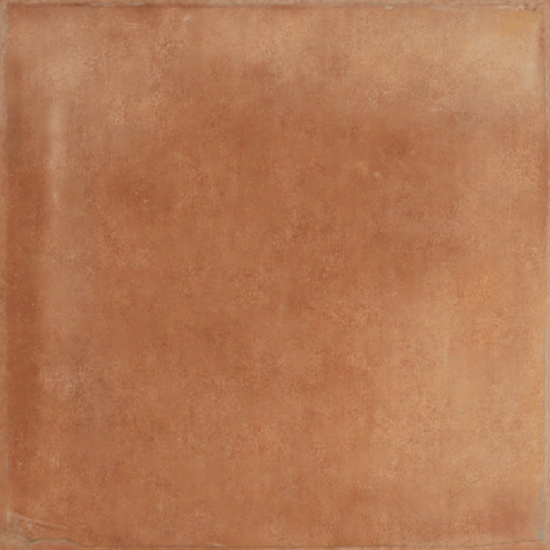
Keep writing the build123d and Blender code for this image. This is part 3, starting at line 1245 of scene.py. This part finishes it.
@dataclass
class ClayTile:
    """The whole tile: a grid drawn down over the solid's face, straight sides, and a waffle back."""

    INSET = "rim_inset"  # the mesh attribute that says how far in from the arris a spot is
    RAGGED = "ragged"  # the vertex group that keeps the grid's border straight
    SIDES = "sides"  # the vertex group of the sides between the rim and the chamfer

    name: str = "clay_tile"
    corner_radius: float = 1.5
    rim_drop: float = 1.6  # from the face down to the top of the sides
    hair: float = 0.02  # how far inside the sides the grid starts
    hang: float = 5.0  # how high above the face the grid starts
    clear: float = 1.0  # a point still so far above the face has missed the solid
    zones: tuple[tuple[float, int], ...] = ((6.0, 18), (24.0, 30))  # widths from the side in, and their lines
    middle_lines: int = 83  # in each half of what is left
    ragged_sizes: Pair = (3.1, 2.6)  # of the wobbles along and across
    ragged_reach: float = 2.2
    ragged_fade: float = 2.0  # how far in from the sides the wobbles reach their full size
    arris_step: float = 0.1  # between the points along the arris
    arris_digits: int = 3  # decimals to which the ends of the solid's edges are matched
    crease: tuple[Pair, ...] = ((-146, -125.5), (-139, -132), (-128, -135.8), (-113, -138.2))
    crease_depth: float = 0.35
    crease_wide: float = 0.7  # half its width at half its depth
    side_rows: int = 8  # from below the rim down to the chamfer
    side_top: float = 9.8  # the highest row, below the deepest chip
    side_sizes: tuple[Pair, ...] = ((9.0, 0.3), (2.5, 0.25))  # size and depth of the sides' hollows
    foot_chamfer: float = 0.8
    pockets: int = 6  # each way
    pocket_side: float = 38.0
    pocket_depth: float = 1.5
    pocket_corner: float = 3.0
    pocket_segments: int = 5  # round each corner
    pocket_draft: float = 25.0  # degrees
    rib_width: float = 6.0
    smooth_angle: float = 45.0  # degrees, up to which a bend is shaded smooth
    upward: float = 0.1  # how far a face's normal rises, at least, for the fired finish
    half: float = field(init=False)  # of the solid's side
    top: float = field(init=False)  # the height of its face
    hand: Hand = field(init=False)
    slid: np.ndarray = field(init=False)  # where the grid's points were drawn down

    def build(self, solid: bpy.types.Object) -> bpy.types.Object:
        """Makes the mesh.

        Args:
            solid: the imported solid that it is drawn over.

        Returns:
            The tile.
        """
        _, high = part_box("tile")
        self.half = high.x / MM
        self.top = high.z / MM
        side, level = 2 * (self.half - self.hair), self.top + self.hang
        bpy.ops.object.select_all(action="DESELECT")
        bpy.ops.mesh.primitive_plane_add(size=side * MM, location=(0, 0, level * MM))
        bpy.ops.object.transform_apply(location=True, rotation=True, scale=True)
        tile = bpy.context.object
        tile.name = self.name
        self.hand = Hand(tile)
        self._rule()
        self._round_corners()
        self._draw_down(solid)
        self._measure_rim(solid)
        self._crease()
        self._drop_sides()
        self._press_back()
        self._close()
        return tile

    def _rule(self) -> None:
        """Rules the plane into a grid that is fine near its sides."""
        lines = [self.half - self.hair]
        for width, _ in self.zones:
            lines.append(lines[-1] - width)
        counts = [count for _, count in self.zones] + [self.middle_lines]
        for axis in (0, 1):
            for line in lines[1:] + [0.0] + [-k for k in lines[1:]]:
                self.hand.cut(axis, line, np.ones(len(self.hand.faces())))
            for inner, outer, count in zip(lines[1:] + [0.0], lines, counts, strict=True):
                ends = np.sort(np.abs(self.hand.points()[self.hand.edges()][:, :, axis]), axis=1)
                along = np.isclose(ends, (inner, outer), atol=TINY).all(axis=1)
                self.hand.pick(Part.EDGES, along)
                bpy.ops.mesh.subdivide(number_cuts=count - 1)
                self.hand.rest()

    def _round_corners(self) -> None:
        """Pulls the grid's four corners in to the tile's rounded ones."""
        points = self.hand.points()
        start = self.half - self.corner_radius
        over = np.maximum(np.abs(points[:, :2]) - start, 0)
        far = np.hypot(over[:, 0], over[:, 1])
        limit = self.corner_radius - self.hair
        outside = (over.min(axis=1) > 0) & (far > limit)
        pulled = start + over[outside] * (limit / far[outside])[:, None]
        points[outside, :2] = np.sign(points[outside, :2]) * pulled
        self.hand.move(points)

    def _draw_down(self, solid: bpy.types.Object) -> None:
        """Draws the grid straight down, each point from a little aside, so that edges come out ragged.

        Args:
            solid: what it is drawn on to.
        """
        kept = self.hand.points()
        room = self.half - np.abs(kept[:, :2]).max(axis=1)
        self.hand.weigh(self.RAGGED, np.clip(room / self.ragged_fade, 0, 1))
        for direction, size in zip("XY", self.ragged_sizes, strict=True):
            self.hand.roughen(size, self.ragged_reach, direction, self.RAGGED)
        self.slid = self.hand.points()
        self.hand.apply(
            "SHRINKWRAP",
            target=solid,
            wrap_method="PROJECT",
            use_project_z=True,
            use_negative_direction=True,
            use_positive_direction=False,
        )
        drawn = self.hand.points()
        drawn[:, :2] = kept[:, :2]
        missed = drawn[:, 2] > self.top + self.clear
        hit = drawn[~missed]
        for k in np.flatnonzero(missed):
            drawn[k, 2] = hit[np.hypot(*(hit - drawn[k])[:, :2].T).argmin(), 2]
        LOG.info("grid of %d points, %d of them set level with the nearest", len(drawn), missed.sum())
        self.hand.move(drawn)

    def _arris(self, solid: bpy.types.Object) -> np.ndarray:
        """Finds the line where the solid's flat face ends.

        Args:
            solid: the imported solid.

        Returns:
            Points close together along that line, in plan, in millimetres.
        """
        mesh = solid.data
        mesh.calc_loop_triangles()
        numbers = [k for triangle in mesh.loop_triangles for k in triangle.vertices]
        corners = np.array([mesh.vertices[k].co for k in numbers]).reshape(-1, 3, 3) / MM
        flat = corners[(corners[:, :, 2] > self.top - TINY).all(axis=1)]
        seen: Counter[tuple] = Counter()
        for triangle in flat[:, :, :2].round(self.arris_digits):
            for k in range(3):
                seen[tuple(sorted((tuple(triangle[k]), tuple(triangle[(k + 1) % 3]))))] += 1
        points = []
        for (a, b), times in seen.items():
            if times == 1:
                steps = max(2, round(hypot(b[0] - a[0], b[1] - a[1]) / self.arris_step))
                points.extend(np.linspace(a, b, steps))
        return np.array(points)

    def _crease(self) -> None:
        """Sinks a crease into the face beside the broken corner."""
        points = self.hand.points()
        for (x0, y0), (x1, y1) in zip(self.crease[:-1], self.crease[1:], strict=True):
            run = np.array((x1 - x0, y1 - y0))
            share = np.clip((points[:, :2] - (x0, y0)) @ run / (run @ run), 0, 1)
            far = np.linalg.norm(points[:, :2] - (x0, y0) - share[:, None] * run, axis=1)
            sunk = self.top - self.crease_depth * 0.5 ** ((far / self.crease_wide) ** 2)
            points[:, 2] = np.minimum(points[:, 2], sunk)
        self.hand.move(points)

    def _measure_rim(self, solid: bpy.types.Object) -> None:
        """Stores how far in from the arris each point of the grid is, below nought on the rim.

        Args:
            solid: what has the arris.
        """
        arris = self._arris(solid)
        tree = KDTree(len(arris))
        for k, (x, y) in enumerate(arris):
            tree.insert((x, y, 0), k)
        tree.balance()
        inset = np.array([tree.find((x, y, 0))[2] for x, y, _ in self.slid])
        inset[self.hand.points()[:, 2] < self.top - TINY] *= -1
        self.hand.paint(self.INSET, inset)

    def _drop_sides(self) -> None:
        """Extrudes the grid's border down to the back, in rows, with a chamfer at the foot."""
        self.hand.pick(Part.EDGES, np.zeros(len(self.hand.edges())))
        bpy.ops.mesh.select_non_manifold(extend=False)
        levels = np.linspace(self.side_top, self.foot_chamfer, self.side_rows)
        for level in (*levels, 0.0):
            bpy.ops.mesh.extrude_region_move()
            bpy.ops.transform.resize(value=(1, 1, 0), center_override=(0, 0, level * MM))
        foot = (self.half - self.foot_chamfer) / (self.half - self.hair)
        bpy.ops.transform.resize(value=(foot, foot, 1), center_override=(0, 0, 0))
        bpy.ops.mesh.edge_face_add()
        bpy.ops.mesh.select_all(action="SELECT")
        bpy.ops.mesh.normals_make_consistent(inside=False)
        self.hand.rest()
        points = self.hand.points()
        outer = np.abs(points[:, :2]).max(axis=1) > self.half - self.corner_radius
        below, above = points[:, 2] < self.side_top + LOOSE, points[:, 2] > self.foot_chamfer + LOOSE
        self.hand.weigh(self.SIDES, outer & below & above)
        for size, depth in self.side_sizes:
            self.hand.roughen(size, depth, "NORMAL", self.SIDES, level=1.0)

    def _press_back(self) -> None:
        """Cuts the back along the ribs and presses the pockets in."""
        pitch = self.pocket_side + self.rib_width
        first = -(self.pockets - 1) / 2 * pitch
        middles = [first + k * pitch for k in range(self.pockets)]
        for axis in (0, 1):
            for line in [m + s * self.pocket_side / 2 for m in middles for s in (-1, 1)]:
                self.hand.cut(axis, line, self.hand.faces()[:, 2] < TINY)
        places = self.hand.faces()
        near = [np.abs(places[:, axis][:, None] - middles).min(axis=1) < LOOSE for axis in (0, 1)]
        self.hand.pick(Part.FACES, (places[:, 2] < TINY) & near[0] & near[1])
        lean = self.pocket_depth * tan(radians(self.pocket_draft))
        bpy.ops.mesh.inset(thickness=lean * MM, depth=-self.pocket_depth * MM, use_individual=True)
        self.hand.rest()
        ends = self.hand.points()[self.hand.edges()]
        heights = np.sort(ends[:, :, 2], axis=1)
        inner = np.abs(ends[:, :, :2]).max(axis=(1, 2)) < self.half - self.rib_width
        slanted = (heights[:, 0] < LOOSE) & np.isclose(heights[:, 1], self.pocket_depth, atol=LOOSE)
        self.hand.pick(Part.EDGES, slanted & inner)
        bpy.ops.mesh.bevel(
            offset=self.pocket_corner * MM,
            offset_type="OFFSET",
            segments=self.pocket_segments,
            affect="EDGES",
        )
        self.hand.rest()

    def _close(self) -> None:
        """Merges what lies together, turns all faces outwards and smooths the gentle bends."""
        self.hand.pick(Part.VERTICES, np.ones(len(self.hand.points())))
        bpy.ops.mesh.remove_doubles(threshold=TINY * MM)
        bpy.ops.mesh.normals_make_consistent(inside=False)
        self.hand.rest()
        bpy.ops.object.shade_smooth_by_angle(angle=radians(self.smooth_angle))

    def dress(self, tile: bpy.types.Object) -> None:
        """Gives the top the fired finish, and the sides and back the bare one.

        Args:
            tile: the mesh.
        """
        Kiln().fire(self.hand)
        tile.data.materials.clear()
        tile.data.materials.append(FaceFinish().material())
        tile.data.materials.append(BodyFinish().material())
        bare = self.hand.normals()[:, 2] <= self.upward
        tile.data.polygons.foreach_set("material_index", bare.astype(int))


@dataclass(frozen=True)
class Studio:
    """The floor, the light and the camera."""

    floor_size: float = 6000.0
    floor_drop: float = 0.2  # below the back, so that the two don't flicker
    floor_paint: Triple = (232, 230, 226)
    sky: float = 0.75  # how much of a white sheet's light comes from all round
    sky_paint: Triple = (255, 255, 255)
    sun_from: Triple = (0.45, -0.55, 0.75)
    sun_width: float = 30.0  # degrees
    lens: float = 200.0
    sensor: float = 36.0
    sight: float = 100_000.0  # how far the camera sees
    frame_half: float = 149.56  # from the middle to the edge of the picture, at the level of the rim

    def floor(self) -> None:
        """Lays the floor, which is only seen from above and lets light through to the tile's back."""
        bpy.ops.object.select_all(action="DESELECT")
        bpy.ops.mesh.primitive_plane_add(size=self.floor_size * MM, location=(0, 0, -self.floor_drop * MM))
        floor = bpy.context.object
        floor.name = "floor"
        made, bench = new_material("pale_floor")
        paint = bench.node("BsdfDiffuse", {"Color": linear(self.floor_paint)}).outputs[0]
        clear = bench.node("BsdfTransparent").outputs[0]
        behind = bench.node("NewGeometry").outputs["Backfacing"]
        surface = bench.node("MixShader", {0: behind, 1: paint, 2: clear}).outputs[0]
        bench.node("OutputMaterial", {"Surface": surface})
        floor.data.materials.append(made)
        floor.visible_diffuse = False

    def light(self) -> None:
        """Lights the tile evenly all round, with a soft lamp from the south-east."""
        world = bpy.data.worlds.new("studio")
        bpy.context.scene.world = world
        world.use_nodes = True
        bench = Bench(world.node_tree)
        rays = bench.node("LightPath").outputs
        strength = bench.math("MAXIMUM", rays["Is Camera Ray"], self.sky)
        for kind in ("Is Glossy Ray", "Is Transmission Ray"):
            strength = bench.math("MAXIMUM", strength, rays[kind])
        sheet = bench.node("Background", {"Color": linear(self.sky_paint), "Strength": strength})
        bench.node("OutputWorld", {"Surface": sheet.outputs[0]})
        lamp = bpy.data.lights.new("soft_lamp", "SUN")
        aim = Vector(self.sun_from).normalized()
        lamp.energy = (1 - self.sky) * pi / aim.z
        lamp.angle = radians(self.sun_width)
        hung = bpy.data.objects.new("soft_lamp", lamp)
        hung.rotation_euler = aim.to_track_quat("Z", "Y").to_euler()
        bpy.context.scene.collection.objects.link(hung)

    def camera(self, level: float) -> None:
        """Hangs the camera straight over the tile.

        Args:
            level: the height at which the tile just fills the picture, in millimetres.
        """
        data = bpy.data.cameras.new("camera")
        data.lens = self.lens
        data.sensor_width = self.sensor
        data.clip_end = self.sight * MM
        camera = bpy.data.objects.new("camera", data)
        away = self.frame_half * 2 * self.lens / self.sensor
        camera.location = (0, 0, (level + away) * MM)
        bpy.context.scene.collection.objects.link(camera)
        bpy.context.scene.camera = camera


def main() -> None:
    """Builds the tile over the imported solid, then its surroundings."""
    logging.basicConfig(level=logging.INFO, format="%(name)s: %(message)s")
    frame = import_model()
    tile = ClayTile()
    piece = tile.build(frame["nodes"]["tile"])
    tile.dress(piece)
    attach(piece, "root")
    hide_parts("tile")
    LOG.info("%s has %d triangles", piece.name, sum(len(p.vertices) - 2 for p in piece.data.polygons))
    studio = Studio()
    studio.floor()
    studio.light()
    studio.camera(tile.top - tile.rim_drop)
    bpy.context.scene.view_settings.view_transform = "Standard"


if __name__ == "__main__":
    main()
